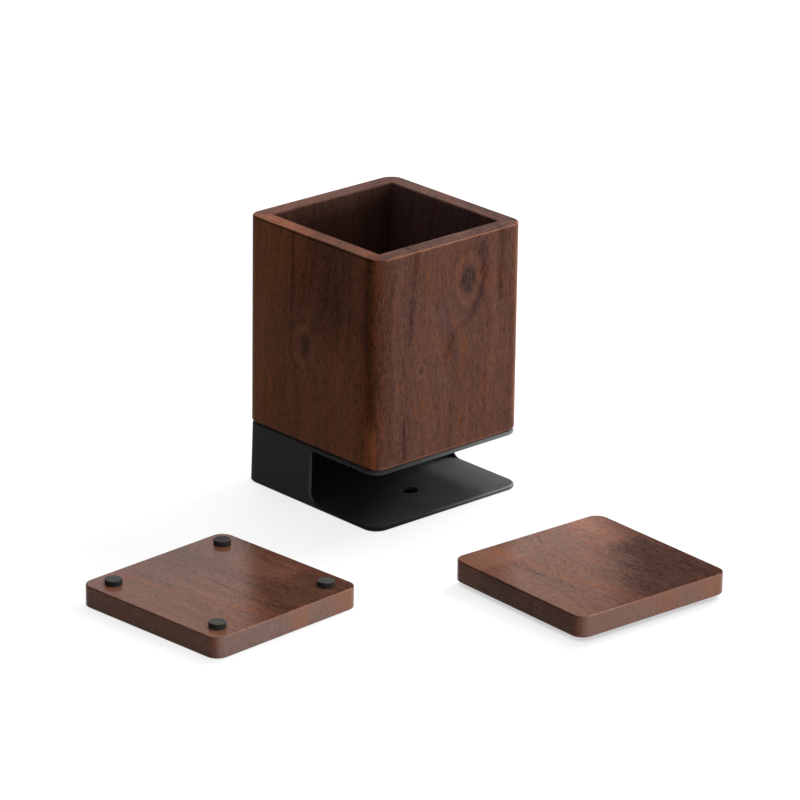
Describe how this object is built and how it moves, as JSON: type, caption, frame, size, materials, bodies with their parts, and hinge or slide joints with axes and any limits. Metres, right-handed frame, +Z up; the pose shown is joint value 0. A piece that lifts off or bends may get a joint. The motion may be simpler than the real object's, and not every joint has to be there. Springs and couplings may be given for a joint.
{
  "type": "pen holder",
  "caption": "Square mitred wooden pen cup screwed to a hollow one-piece metal stand, with two square wooden coasters on rubber feet that slide into the stand.",
  "frame": {"origin": "centre of the stand's underside, on the surface it stands on", "axes": "+Z up through the cup's mouth, +X towards the open front of the stand, +Y to the right for someone who faces that front"},
  "size_m": [0.2456, 0.2423, 0.13],
  "materials": {
    "cup_wood": "dark reddish-brown hardwood with upright grain, satin oil",
    "coaster_wood": "dark reddish-brown hardwood with long grain, satin oil",
    "stand_metal": "matt black powder coat",
    "screw_steel": "zinc plated",
    "foot_rubber": "matt black"
  },
  "bodies": {
    "holder": {"cup_front_wall": "cup_wood", "cup_right_wall": "cup_wood", "cup_rear_wall": "cup_wood", "cup_left_wall": "cup_wood", "cup_floor": "cup_wood", "stand_bracket": "stand_metal", "cup_screws": "screw_steel"},
    "flipped_coaster": {"flipped_coaster_board": "coaster_wood", "flipped_coaster_foot_1": "foot_rubber", "flipped_coaster_foot_2": "foot_rubber", "flipped_coaster_foot_3": "foot_rubber", "flipped_coaster_foot_4": "foot_rubber"},
    "upright_coaster": {"upright_coaster_board": "coaster_wood", "upright_coaster_foot_1": "foot_rubber", "upright_coaster_foot_2": "foot_rubber", "upright_coaster_foot_3": "foot_rubber", "upright_coaster_foot_4": "foot_rubber"}
  },
  "joints": [
    {"name": "flipped_coaster_lift", "type": "slide", "parent": "holder", "child": "flipped_coaster", "axis": [0, 0, 1], "range_m": [0, 0.1]},
    {"name": "upright_coaster_lift", "type": "slide", "parent": "holder", "child": "upright_coaster", "axis": [0, 0, 1], "range_m": [0, 0.1]}
  ]
}
